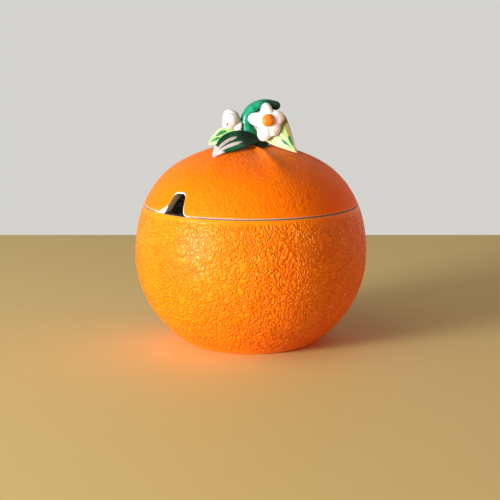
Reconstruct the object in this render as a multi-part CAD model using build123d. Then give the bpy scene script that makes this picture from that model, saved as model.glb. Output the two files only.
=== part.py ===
from build123d import *
import os
from math import asin, cos, log, pi, sin, sqrt

# Driving dimensions, in millimetres and degrees.
# The part stands on z = 0 with its axis on Z, and the spoon notch faces -Y.

# Orange form that the pot and the lid share
belly_diameter = 100.0
belly_height = 37.6
crown_height = 85.4
seam_height = 60.0
foot_diameter = 56.0
upper_fullness = 2.34  # superellipse power above the belly, 2 is an ellipse
lower_fullness = 1.93  # superellipse power below the belly

# Pot
pot_wall = 4.0
pot_floor = 5.0
floor_fillet = 9.0
foot_ring_width = 4.5
foot_recess = 1.4
foot_round = 1.0
rim_round = 0.6  # rounding of the rims that meet at the seam
mouth_round = 0.9  # rounding of the pot's inner rim

# Lid
lid_wall = 3.4
flange_depth = 4.0
flange_thickness = 3.0
flange_clearance = 0.8  # between the flange and the pot's mouth
flange_round = 0.8
notch_base_width = 10.8
notch_top_width = 5.9
notch_height = 8.8
notch_top_round = 2.2
notch_left_flare = 1.2  # radius where the notch opens out into the rim, at -X
notch_right_flare = 3.0  # the same at +X

# The finial is laid out as it is seen from its own front: across to the right, away from the
# viewer, and above the lid's crown. It is then turned about the axis to stand on the lid.
finial_turn = 44.1

# Stalk, a hook that tapers from a spread root to a round tip
stalk_line = ((4.8, -2.0), (-0.5, 4.8), (-1.7, 10.8), (0.7, 15.1), (5.2, 17.1), (10.6, 16.7))
stalk_root_diameter = 10.0
stalk_neck_diameter = 7.0
stalk_tip_diameter = 4.0
stalk_root_power = 9  # how quickly the root draws in to the neck

# Leaves. The base and the bow of a midrib are places across, away and above the crown, and
# its tip is a place across and away, with a lift off the dome. The side is the way that the
# blade spreads, and the shoulder is where it is widest, as a share of its length.
leaf_thickness = 1.9
leaf_edge = 1.0

front_leaf_base = (2.2, -3.0, 2.4)
front_leaf_bow = (-10.4, -11.4, 3.8)
front_leaf_tip = (-15.7, -18.0)
front_leaf_lift = 0.0
front_leaf_side = (-0.5, 0.45, 0.75)
front_leaf_width = 9.2
front_leaf_shoulder = 0.4
front_leaf_cup = 1.2

left_leaf_base = (-2.0, 1.0, 3.6)
left_leaf_bow = (-10.0, 0.0, 5.4)
left_leaf_tip = (-18.0, 0.0)
left_leaf_lift = 1.3
left_leaf_side = (0.05, 0.8, 0.6)
left_leaf_width = 10.0
left_leaf_shoulder = 0.55
left_leaf_cup = 0.8

right_leaf_base = (7.2, -2.0, 10.4)
right_leaf_bow = (12.6, -3.6, 3.6)
right_leaf_tip = (19.6, -9.0)
right_leaf_lift = 0.0
right_leaf_side = (0.69, 0.0, 0.72)
right_leaf_width = 14.0
right_leaf_shoulder = 0.14
right_leaf_cup = 0.8

# Blossoms. Each petal of the open blossom has its angle, length and width.
petal_thickness = 1.8
button_diameter = 5.4

front_blossom_place = (7.3, -7.0, 11.0)
front_blossom_facing = (0.04, -0.98, 0.18)
front_blossom_curve = 18.0  # radius of the shell that its petals curve back along
front_blossom_eye = 9.0  # diameter of the disc that joins the petals
front_blossom_calyx = 5.0
front_calyx_diameter = 6.0
front_button_rise = 1.5
front_petals = ((97, 7.7, 5.2), (172, 8.5, 5.8), (253, 8.9, 6.4), (303, 7.9, 7.0), (17, 7.4, 6.2))

side_blossom_place = (-8.8, -0.8, 10.7)
side_blossom_facing = (-0.98, 0.08, 0.12)
side_blossom_diameter = 9.2
side_blossom_rim = 3.0  # how far the petals close in past the widest part of the cup
side_blossom_slit = 1.0  # width of the slits between the petals at the rim
side_slit_depth = 3.6
side_slit_turn = -7.0
side_blossom_calyx = 5.4
side_calyx_diameter = 5.0
side_calyx_drop = 1.8  # how far below the cup's middle the calyx sits
petal_count = 5

# Sizes that follow from the driving dimensions
belly_radius = belly_diameter / 2
foot_radius = foot_diameter / 2
upper_height = crown_height - belly_height
foot_share = 1 - (foot_radius / belly_radius) ** lower_fullness
lower_height = belly_height / foot_share ** (1 / lower_fullness)
overcut = 1.0  # how far a cutting tool reaches past the face that it cuts
close = 1e-3  # two sizes nearer than this are taken as one
upright = (Align.CENTER, Align.CENTER, Align.MIN)
hanging = (Align.CENTER, Align.CENTER, Align.MAX)
frontward = (Align.CENTER, Align.MAX, Align.MIN)


def half_width(level, radius, height, fullness):
    """Radius of the orange form at a level above or below the belly."""
    return radius * (1 - (abs(level) / height) ** fullness) ** (1 / fullness)


def half_height(reach, radius, height, fullness):
    """Distance from the belly's level at which the form has that radius."""
    return height * (1 - (reach / radius) ** fullness) ** (1 / fullness)


def dome_level(across, away):
    """Height of the lid's skin over a point of the plan."""
    reach = sqrt(across**2 + away**2)
    return belly_height + half_height(reach, belly_radius, upper_height, upper_fullness)


def skin(radius, height, fullness, direction, start, end, stations=9):
    """Profile curve from one distance off the belly's level to another, up (1) or down (-1)."""
    first = asin((start / height) ** (fullness / 2))
    last = asin((end / height) ** (fullness / 2))
    points = []
    for station in range(stations):
        angle = first + (last - first) * station / (stations - 1)
        reach = radius * max(cos(angle), 0) ** (2 / fullness)
        rise = height * sin(angle) ** (2 / fullness)
        points.append((reach if reach > close else 0, 0, belly_height + direction * rise))

    sense = 1 if end > start else -1

    def slope(distance):
        share = distance / height
        if height - distance < close:
            return (-sense, 0, 0)
        thin = (1 - share**fullness) ** (1 / fullness - 1)
        inward = radius / height * share ** (fullness - 1) * thin
        return (-sense * inward, 0, sense * direction)

    return Spline(*points, tangents=[slope(start), slope(end)])


def turned(*edges):
    """Solid of revolution about Z from a chain of profile edges, closed along the axis."""
    chain = Wire(edges)
    top, bottom = chain @ 1, chain @ 0
    corners = [top, (0, 0, top.Z), (0, 0, bottom.Z), bottom]
    closing = [
        Line(a, b) for a, b in zip(corners, corners[1:]) if (Vector(a) - Vector(b)).length > close
    ]
    return revolve(Face(Wire([*edges, *closing])), Axis.Z)


def ring_edges(solid, radius, level):
    """Circular edges of a turned solid at a radius and a level."""
    return [
        edge
        for edge in solid.edges().filter_by(GeomType.CIRCLE)
        if abs(edge.radius - radius) < close and abs(edge.arc_center.Z - level) < close
    ]


def largest(shape):
    """Main solid of a trimmed shape, without any crumbs that the trimming cut off."""
    return max(shape.solids(), key=lambda solid: solid.volume)


# Pot
seam_rise = seam_height - belly_height
rim_radius = half_width(seam_rise, belly_radius, upper_height, upper_fullness)
pot_form = turned(
    skin(belly_radius, lower_height, lower_fullness, -1, belly_height, 0),
    skin(belly_radius, upper_height, upper_fullness, 1, 0, seam_rise),
)
pot_form = fillet(ring_edges(pot_form, foot_radius, 0), foot_round)
pot_form = fillet(ring_edges(pot_form, rim_radius, seam_height), rim_round)

inner_radius = belly_radius - pot_wall
inner_lower = lower_height - pot_wall
inner_upper = upper_height - pot_wall
floor_drop = belly_height - pot_floor
floor_radius = half_width(floor_drop, inner_radius, inner_lower, lower_fullness)
mouth_radius = half_width(seam_rise, inner_radius, inner_upper, upper_fullness)
pot_hollow = turned(
    skin(inner_radius, inner_lower, lower_fullness, -1, floor_drop, 0),
    skin(inner_radius, inner_upper, upper_fullness, 1, 0, seam_rise),
)
pot_hollow = fillet(ring_edges(pot_hollow, floor_radius, pot_floor), floor_fillet)
pot = pot_form - pot_hollow
pot = fillet(ring_edges(pot, mouth_radius, seam_height), mouth_round)
recess_radius = foot_radius - foot_ring_width
pot -= Cylinder(recess_radius, foot_recess, align=upright)

# Lid, with a flange that drops into the pot's mouth
lid_form = turned(skin(belly_radius, upper_height, upper_fullness, 1, seam_rise, upper_height))
lid_form = fillet(ring_edges(lid_form, rim_radius, seam_height), rim_round)

lid_inner_radius = belly_radius - lid_wall
lid_inner_height = upper_height - lid_wall
lid_hollow = turned(
    skin(lid_inner_radius, lid_inner_height, upper_fullness, 1, seam_rise, lid_inner_height)
)
flange_outer = mouth_radius - flange_clearance
flange_inner = flange_outer - flange_thickness
flange_foot = seam_height - flange_depth
flange_head = belly_height + half_height(
    flange_inner, lid_inner_radius, lid_inner_height, upper_fullness
)
flange_base = Pos(0, 0, flange_foot)
flange_height = flange_head - flange_foot
flange = flange_base * Cylinder(flange_outer, flange_height, align=upright)
flange = fillet(ring_edges(flange, flange_outer, flange_foot), flange_round)
flange -= flange_base * Cylinder(flange_inner, flange_height, align=upright)

# The flange stops short of the spoon notch on both sides
notch_mouth = notch_base_width / 2 + 2 * max(notch_left_flare, notch_right_flare)
bay_base = Pos(0, 0, flange_foot - overcut)
bay_height = flange_height + 2 * overcut
flange -= bay_base * Box(2 * notch_mouth, belly_radius, bay_height, align=frontward)
flange_room = lid_form + flange_base * Cylinder(flange_outer, flange_depth, align=upright)
lid_shell = (lid_form - lid_hollow) + (flange & flange_room)

# Spoon notch, cut through the wall on the -Y side
notch_foot = seam_height - overcut
notch_outline = Polygon(
    (-notch_mouth, notch_foot),
    (notch_mouth, notch_foot),
    (notch_mouth, seam_height),
    (notch_base_width / 2, seam_height),
    (notch_top_width / 2, seam_height + notch_height),
    (-notch_top_width / 2, seam_height + notch_height),
    (-notch_base_width / 2, seam_height),
    (-notch_mouth, seam_height),
    align=None,
)
notch_outline = fillet(notch_outline.vertices().group_by(Axis.Y)[-1], notch_top_round)
for corner_place, flare in (
    (-notch_base_width / 2, notch_left_flare),
    (notch_base_width / 2, notch_right_flare),
):
    corners = [
        corner
        for corner in notch_outline.vertices()
        if abs(corner.Y - seam_height) < close and abs(corner.X - corner_place) < close
    ]
    notch_outline = fillet(corners, flare)
notch_tool = extrude(Plane.XZ * notch_outline, belly_radius)
lid_shell = largest(lid_shell - notch_tool)


def crown_point(place):
    """Point of the finial from its place across, away and above the crown."""
    across, away, rise = place
    return Vector(across, away, crown_height + rise)


def trimmed(shape, *neighbours):
    """Ornament cut back to the faces of the lid and of the ornaments that it leans on."""
    for neighbour in (lid_form, *neighbours):
        shape = shape - neighbour
    return largest(shape)


def hook(line, root_diameter, neck_diameter, tip_diameter, stations=13):
    """Tapering round stalk along a smooth line in the finial's front plane."""
    path = Spline(*[(across, 0, crown_height + rise) for across, rise in line])
    sections = []
    for station in range(stations):
        left = 1 - station / (stations - 1)
        diameter = tip_diameter + (neck_diameter - tip_diameter) * left
        diameter += (root_diameter - neck_diameter) * left**stalk_root_power
        spot = 1 - left
        section_plane = Plane(origin=path @ spot, x_dir=(0, 1, 0), z_dir=path % spot)
        sections.append(section_plane * Circle(diameter / 2))
    return loft(sections) + Pos(path @ 1) * Sphere(tip_diameter / 2)


def leaf(base, bow, tip, lift, side, width, shoulder, cup, stations=9):
    """Blade along a bowed midrib, widest at its shoulder and pointed at its tip."""
    start = crown_point(base)
    control = crown_point(bow)
    end = Vector(*tip, dome_level(*tip) + leaf_edge / 2 + lift)
    from_base, to_tip = 0.12, 0.85  # part of a half wave that shapes the blade's outline
    power = log(0.5) / log(from_base + to_tip * shoulder)
    least_droop = leaf_edge / 20  # keeps the faces arched where the cup runs out
    sections = []
    for station in range(stations):
        share = station / (stations - 1)
        centre = start * (1 - share) ** 2 + control * (2 * share * (1 - share)) + end * share**2
        along = ((control - start) * (1 - share) + (end - control) * share).normalized()
        across = Vector(*side)
        across = (across - along * across.dot(along)).normalized()
        spread = sin(pi * (from_base + to_tip * share) ** power)
        reach = width / 2 * spread
        droop = cup * spread + least_droop
        upper, lower = leaf_thickness / 2, -leaf_thickness / 2
        edge_top, edge_foot = leaf_edge / 2 - droop, -leaf_edge / 2 - droop
        outline = [
            ThreePointArc((-reach, edge_top), (0, upper), (reach, edge_top)),
            Line((reach, edge_top), (reach, edge_foot)),
            ThreePointArc((reach, edge_foot), (0, lower), (-reach, edge_foot)),
            Line((-reach, edge_foot), (-reach, edge_top)),
        ]
        sections.append(Plane(origin=centre, x_dir=across, z_dir=along) * Face(Wire(outline)))
    return loft(sections)


def blossom_plane(place, facing):
    """Plane on a blossom's middle, facing the way that the blossom looks, with its X level."""
    outward = Vector(*facing).normalized()
    level = Vector(0, 0, 1).cross(outward).normalized()
    return Plane(origin=crown_point(place), x_dir=level, z_dir=outward)


def open_corolla(petals, curve, eye, calyx, calyx_diameter):
    """Petals cut from a domed shell whose top is the origin, with a calyx behind them."""
    outline = Circle(eye / 2)
    for angle, length, width in petals:
        petal = Pos(length / 2, 0) * Ellipse(length / 2, width / 2)
        outline += Rot(0, 0, angle) * petal
    dome = Pos(0, 0, -curve) * Sphere(curve)
    shell = dome - Pos(0, 0, -curve) * Sphere(curve - petal_thickness)
    petals_body = shell & extrude(Pos(0, 0, -curve) * outline, curve + overcut)
    return petals_body + (dome & Cylinder(calyx_diameter / 2, calyx, align=hanging))


def open_button(curve, rise):
    """Round button set on the top of the domed shell."""
    reach = button_diameter / 2
    crown = rise + curve - sqrt(curve**2 - reach**2)
    ball = (reach**2 + crown**2) / (2 * crown)
    return Pos(0, 0, rise - ball) * Sphere(ball) - Pos(0, 0, -curve) * Sphere(curve)


def cupped_corolla(diameter, rim, slit, depth, turn, calyx, calyx_diameter, calyx_drop):
    """Round cup about the origin, open towards +Z, slit into petals, with a calyx behind it."""
    radius = diameter / 2
    inner = Sphere(radius - petal_thickness)
    cup = Sphere(radius) - inner
    cup -= Pos(0, 0, rim) * Cylinder(radius, radius, align=upright)
    wedge = Polygon((0, rim - depth), (slit / 2, rim), (-slit / 2, rim), align=None)
    wedge = extrude(Plane.XZ * wedge, radius + overcut)
    for petal in range(petal_count):
        cup -= Rot(0, 0, turn + 360 / petal_count * petal) * wedge
    neck = Pos(0, -calyx_drop, 0) * Cylinder(calyx_diameter / 2, calyx, align=hanging)
    return cup + (neck - inner)


def cupped_button(diameter):
    """Round knob that stands on the bottom of the cup."""
    inner = diameter / 2 - petal_thickness
    ball = button_diameter / 2
    return Pos(0, 0, ball - inner) * Sphere(ball) & Sphere(inner)


# Finial
stalk = trimmed(
    hook(stalk_line, stalk_root_diameter, stalk_neck_diameter, stalk_tip_diameter)
)
front_leaf = trimmed(
    leaf(
        front_leaf_base,
        front_leaf_bow,
        front_leaf_tip,
        front_leaf_lift,
        front_leaf_side,
        front_leaf_width,
        front_leaf_shoulder,
        front_leaf_cup,
    ),
    stalk,
)
left_leaf = trimmed(
    leaf(
        left_leaf_base,
        left_leaf_bow,
        left_leaf_tip,
        left_leaf_lift,
        left_leaf_side,
        left_leaf_width,
        left_leaf_shoulder,
        left_leaf_cup,
    ),
    stalk,
    front_leaf,
)
right_leaf = trimmed(
    leaf(
        right_leaf_base,
        right_leaf_bow,
        right_leaf_tip,
        right_leaf_lift,
        right_leaf_side,
        right_leaf_width,
        right_leaf_shoulder,
        right_leaf_cup,
    ),
    stalk,
    front_leaf,
)
front_plane = blossom_plane(front_blossom_place, front_blossom_facing)
front_blossom = trimmed(
    front_plane
    * open_corolla(
        front_petals,
        front_blossom_curve,
        front_blossom_eye,
        front_blossom_calyx,
        front_calyx_diameter,
    ),
    stalk,
    front_leaf,
    right_leaf,
)
front_blossom_centre = front_plane * open_button(front_blossom_curve, front_button_rise)
side_plane = blossom_plane(side_blossom_place, side_blossom_facing)
side_blossom = trimmed(
    side_plane
    * cupped_corolla(
        side_blossom_diameter,
        side_blossom_rim,
        side_blossom_slit,
        side_slit_depth,
        side_slit_turn,
        side_blossom_calyx,
        side_calyx_diameter,
        side_calyx_drop,
    ),
    stalk,
    front_leaf,
    left_leaf,
)
side_blossom_centre = side_plane * cupped_button(side_blossom_diameter)

finial = {
    "stalk": stalk,
    "front_leaf": front_leaf,
    "left_leaf": left_leaf,
    "right_leaf": right_leaf,
    "front_blossom": front_blossom,
    "front_blossom_centre": front_blossom_centre,
    "side_blossom": side_blossom,
    "side_blossom_centre": side_blossom_centre,
}
nodes = {"pot": largest(pot), "lid_shell": lid_shell}
nodes.update({name: Rot(0, 0, finial_turn) * shape for name, shape in finial.items()})

os.makedirs("parts", exist_ok=True)
for name, shape in nodes.items():
    export_step(shape, f"parts/{name}.step")
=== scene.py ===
import logging
import math
from dataclasses import dataclass
from enum import Enum
from typing import Any, Sequence

import bmesh
import bpy
import numpy as np
from mathutils import Matrix, Vector


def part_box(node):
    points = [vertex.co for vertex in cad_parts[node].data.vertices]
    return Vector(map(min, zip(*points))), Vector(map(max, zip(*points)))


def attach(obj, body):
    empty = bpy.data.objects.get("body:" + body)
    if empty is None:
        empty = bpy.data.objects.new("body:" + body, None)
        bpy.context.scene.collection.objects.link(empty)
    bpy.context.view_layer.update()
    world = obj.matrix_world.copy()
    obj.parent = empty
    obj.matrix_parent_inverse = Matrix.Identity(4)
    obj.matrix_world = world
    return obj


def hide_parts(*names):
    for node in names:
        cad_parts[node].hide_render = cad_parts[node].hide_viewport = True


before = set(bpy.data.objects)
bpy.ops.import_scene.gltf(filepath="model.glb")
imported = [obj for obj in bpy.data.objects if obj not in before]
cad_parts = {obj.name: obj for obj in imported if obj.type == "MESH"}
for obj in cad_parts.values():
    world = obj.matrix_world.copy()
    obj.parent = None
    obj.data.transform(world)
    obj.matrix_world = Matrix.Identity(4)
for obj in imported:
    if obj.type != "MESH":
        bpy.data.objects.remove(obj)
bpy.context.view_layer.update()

LOG = logging.getLogger("jam_pot")
MM = 0.001
NEAR_AXIS = 1e-6
QUARTER = math.pi / 2
VIEW_TURN = math.radians(44.1)
Colour = tuple[float, float, float]
Spot = tuple[float, float, float]
Pair = tuple[float, float]


class Body(str, Enum):
    """CAD bodies that a piece can ride on."""

    POT = "pot"
    LID = "lid"


class Slot(str, Enum):
    """Material slots."""

    ORANGE = "orange_glaze"
    STALK = "stalk_green_glaze"
    DARK_LEAF = "dark_leaf_glaze"
    PALE_LEAF = "pale_leaf_glaze"
    WHITE = "white_glaze"
    BUTTON = "button_orange_glaze"


# Node trees


class Signal:
    """Output socket that adds Math nodes when it is used in an expression."""

    def __init__(self, desk: "Desk", socket: bpy.types.NodeSocket) -> None:
        """Wraps one output socket of a desk's tree."""
        self.desk = desk
        self.socket = socket

    def math(self, operation: str, *others: Any, swap: bool = False) -> "Signal":
        """Adds one Math node.

        Args:
            operation: Name of the node's operation.
            others: Further operands, signals or numbers.
            swap: Puts the first other operand in front of this one.

        Returns:
            The node's value.
        """
        operands = [*others, self] if swap else [self, *others]
        return self.desk.add("ShaderNodeMath", {"operation": operation}, dict(enumerate(operands)))

    def __add__(self, other: Any) -> "Signal":
        """Sum."""
        return self.math("ADD", other)

    __radd__ = __add__

    def __sub__(self, other: Any) -> "Signal":
        """Difference."""
        return self.math("SUBTRACT", other)

    def __rsub__(self, other: Any) -> "Signal":
        """Difference from a number."""
        return self.math("SUBTRACT", other, swap=True)

    def __mul__(self, other: Any) -> "Signal":
        """Product."""
        return self.math("MULTIPLY", other)

    __rmul__ = __mul__

    def __truediv__(self, other: Any) -> "Signal":
        """Quotient."""
        return self.math("DIVIDE", other)

    def __rtruediv__(self, other: Any) -> "Signal":
        """Quotient of a number by this value."""
        return self.math("DIVIDE", other, swap=True)

    def __pow__(self, other: Any) -> "Signal":
        """Power."""
        return self.math("POWER", other)

    def __abs__(self) -> "Signal":
        """Size without its sign."""
        return self.math("ABSOLUTE")

    def most(self, other: Any) -> "Signal":
        """Larger of two values."""
        return self.math("MAXIMUM", other)

    def least(self, other: Any) -> "Signal":
        """Smaller of two values."""
        return self.math("MINIMUM", other)

    def ease(self, low: Any, high: Any) -> "Signal":
        """Smooth step from 0 at low to 1 at high."""
        sockets = {"Value": self, "From Min": low, "From Max": high}
        return self.desk.add("ShaderNodeMapRange", {"interpolation_type": "SMOOTHSTEP"}, sockets)


class Desk:
    """Adds nodes to one tree and hands back their outputs."""

    def __init__(self, tree: bpy.types.NodeTree) -> None:
        """Takes the tree that the nodes go to."""
        self.tree = tree

    def add(
        self,
        kind: str,
        settings: dict[str, Any] | None = None,
        sockets: dict[Any, Any] | None = None,
        out: Any = 0,
    ) -> Signal:
        """Adds a node, with its settings first and then its sockets.

        Args:
            kind: Node type.
            settings: Attributes of the node.
            sockets: Values or links, by a socket's identifier, name or place.
            out: Place, identifier or name of the output.

        Returns:
            The chosen output.
        """
        node = self.tree.nodes.new(kind)
        for name, value in (settings or {}).items():
            setattr(node, name, value)
        for key, value in (sockets or {}).items():
            self.feed(self.pick(node.inputs, key), value)
        return Signal(self, self.pick(node.outputs, out))

    @staticmethod
    def pick(sockets: Any, key: Any) -> bpy.types.NodeSocket:
        """Finds a socket.

        Args:
            sockets: Inputs or outputs of a node.
            key: Place, identifier or name.

        Returns:
            The socket.
        """
        if isinstance(key, int):
            return sockets[key]
        for socket in sockets:
            if socket.identifier == key:
                return socket
        return sockets[key]

    def feed(self, socket: bpy.types.NodeSocket, value: Any) -> None:
        """Links a signal to a socket, or sets a plain value on it.

        Args:
            socket: Input of a node.
            value: Signal, or a number, vector or colour.
        """
        if isinstance(value, Signal):
            self.tree.links.new(value.socket, socket)
        elif socket.type == "RGBA":
            socket.default_value = (*value, 1.0)
        else:
            socket.default_value = value

    def blend(self, share: Any, first: Any, second: Any) -> Signal:
        """Colour that goes from the first at share 0 to the second at share 1."""
        sockets = {"Factor_Float": share, "A_Color": first, "B_Color": second}
        return self.add("ShaderNodeMix", {"data_type": "RGBA"}, sockets, "Result_Color")

    def vector(self, operation: str, *operands: Any, **named: Any) -> Signal:
        """Result of a Vector Math node."""
        sockets = {**dict(enumerate(operands)), **named}
        return self.add("ShaderNodeVectorMath", {"operation": operation}, sockets)

    def noise(self, place: Any, size: float, detail: float = 2.0, out: Any = 0) -> Signal:
        """Noise whose grains are about size metres wide."""
        sockets = {"Vector": place, "Scale": 1 / size, "Detail": detail}
        return self.add("ShaderNodeTexNoise", {}, sockets, out)

    def shifted(self, place: Any, drift: Signal, reach: Any) -> Signal:
        """Place moved by a noise's colour, up to half of reach either way."""
        drift = self.vector("SUBTRACT", drift, (0.5, 0.5, 0.5))
        return self.vector("ADD", place, self.vector("SCALE", drift, Scale=reach))


class Dressing:
    """One material: a desk for its nodes, and its shader."""

    def __init__(self, name: str, **constants: Any) -> None:
        """Starts a material with values that are the same all over.

        Args:
            name: Name of the material.
            constants: Values of the shader's sockets, with _ for a space.
        """
        self.material = bpy.data.materials.new(name)
        self.material.use_nodes = True
        self.desk = Desk(self.material.node_tree)
        self.shader = self.material.node_tree.nodes["Principled BSDF"]
        self.place = self.desk.add("ShaderNodeTexCoord", out="Object")
        for socket, value in constants.items():
            self.link(socket.replace("_", " "), value)

    def value(self, name: str) -> Signal:
        """Attribute that the piece's points hold."""
        return self.desk.add("ShaderNodeAttribute", {"attribute_name": name}, out="Fac")

    def link(self, socket: str, value: Any) -> None:
        """Feeds one of the shader's sockets."""
        self.desk.feed(self.shader.inputs[socket], value)

    def bump(self, height: Signal, distance: float, strength: float) -> None:
        """Raises the surface's shading by a height of up to distance metres."""
        sockets = {"Height": height, "Distance": distance, "Strength": strength}
        self.link("Normal", self.desk.add("ShaderNodeBump", {}, sockets))


# Finishes


@dataclass(frozen=True)
class OrangeGlaze:
    """Orange glaze over a moulded peel, white where it stops, with bare clay on the rims and painted shade
    on the pot's rim.
    """

    name: str
    worm: float
    worm_size: float
    ridge: Colour = (1.0, 0.196, 0.0002)
    crease: Colour = (0.87, 0.098, 0.0001)
    blush: Colour = (0.97, 0.165, 0.0002)
    white: Colour = (0.86, 0.84, 0.79)
    clay: Colour = (0.22, 0.20, 0.185)
    # Near-black colour of the pot's rim: painted shade of the lid that sits on it
    rim_shade: Colour = (0.075, 0.062, 0.05)
    sheen: Colour = (1.0, 0.76, 0.38)
    patch_size: float = 24 * MM
    speck_size: float = 0.9 * MM
    bump_depth: float = 0.38 * MM
    gloss: float = 0.45
    matt: float = 0.34
    crease_share: float = 0.3
    speck_share: float = 0.2

    def material(self) -> bpy.types.Material:
        """Builds the glaze from the piece's relief, peel, glaze and bare attributes.

        Returns:
            The material.
        """
        coat = Dressing(
            self.name,
            Specular_IOR_Level=self.gloss,
            Specular_Tint=self.sheen,
            Coat_Weight=0.06,
            Coat_Roughness=0.3,
        )
        desk = coat.desk
        peel = coat.value("peel") * self.worm
        patch = desk.noise(coat.place, self.patch_size, 3.0).ease(0.38, 0.66)
        speck = desk.noise(coat.place, self.speck_size, 3.0)
        drift = desk.noise(coat.place, self.worm_size * 3.2, 1.0, "Color")
        warped = desk.shifted(coat.place, drift, self.worm_size * 3.0)
        worm = (abs(desk.noise(warped, self.worm_size, 1.0) - 0.5) * 7.5).ease(0.0, 1.0)
        sunk = (1 - coat.value("relief")).most((1 - worm) * peel)
        orange = desk.blend(patch * 0.5, self.ridge, self.blush)
        orange = desk.blend(sunk * self.crease_share, orange, self.crease)
        orange = desk.blend(speck.ease(0.62, 0.8) * self.speck_share, orange, self.crease)
        # A bare value of 1 is clay, and one of 2 is the pot's rim, darkened as painted shade of the lid that
        # sits on it
        bare = coat.value("bare")
        ground = desk.blend(bare.least(1.0), self.white, self.clay)
        ground = desk.blend((bare - 1.0).most(0.0), ground, self.rim_shade)
        cover = (coat.value("glaze") + (speck - 0.5) * 0.4).ease(0.35, 0.65)
        coat.link("Base Color", desk.blend(cover, ground, orange))
        coat.link("Roughness", self.matt + speck * 0.10 + sunk * 0.10)
        coat.bump(worm * peel + speck * 0.12, self.bump_depth, 1.0)
        return coat.material


@dataclass(frozen=True)
class StalkGlaze:
    """Blue-green glaze that pools dark towards the tip and goes near black at the root: dark paint with
    painted shade of the hollow under the blossoms.
    """

    name: str = "stalk_glaze"
    body: Colour = (0.008, 0.245, 0.140)
    thin: Colour = (0.020, 0.400, 0.240)
    # Near-black colour: pooled glaze at the tip, and painted shade at the root
    pooled_and_shade: Colour = (0.002, 0.022, 0.014)
    streak_size: float = 2.2 * MM
    bump_depth: float = 0.3 * MM
    # Stretch at the root that goes near black: dark paint with painted shade of the hollow under the
    # blossoms
    root_paint_and_shade: Pair = (0.16, 0.32)
    tip_pool: Pair = (0.72, 0.90)

    def material(self) -> bpy.types.Material:
        """Builds the glaze from the place along the stalk.

        Returns:
            The material.
        """
        coat = Dressing(self.name, Specular_IOR_Level=0.25, Coat_Weight=0.10, Coat_Roughness=0.06)
        desk = coat.desk
        streak = desk.noise(coat.place, self.streak_size, 3.0)
        green = desk.blend(streak.ease(0.42, 0.66), self.body, self.thin)
        along = coat.value("along") + (streak - 0.5) * 0.16
        green = desk.blend(along.ease(*self.tip_pool) * 0.9, green, self.pooled_and_shade)
        # Near black at the root: dark paint with painted shade of the hollow under the blossoms
        green = desk.blend(1 - along.ease(*self.root_paint_and_shade), green, self.pooled_and_shade)
        coat.link("Base Color", green)
        coat.link("Roughness", 0.16 + streak * 0.12)
        coat.bump(streak, self.bump_depth, 0.3)
        return coat.material


@dataclass(frozen=True)
class Stroke:
    """One brush stroke on a leaf, from a place along and across it to another."""

    start: Pair
    end: Pair
    width: float
    strength: float = 1.0

    def mask(self, along: Signal, across: Signal, aspect: float) -> Signal:
        """How much paint the stroke leaves on each point.

        Args:
            along: Place along the leaf, 0 at its base.
            across: Place across it, from -1 to 1.
            aspect: Length of the leaf in half widths.

        Returns:
            A value from 0 to the stroke's strength.
        """
        run = (self.end[0] - self.start[0]) * aspect
        rise = self.end[1] - self.start[1]
        from_start = (along - self.start[0]) * aspect
        from_side = across - self.start[1]
        square = run * run + rise * rise
        share = ((from_start * run + from_side * rise) / square).most(0.0).least(1.0)
        gap_along = from_start - share * run
        gap_across = from_side - share * rise
        gap = (gap_along * gap_along + gap_across * gap_across) ** 0.5
        swell = (share * (1 - share) * 4.0) ** 0.45
        reach = swell * self.width + 0.02
        return (1 - (gap / reach).ease(0.7, 1.1)) * self.strength


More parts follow.
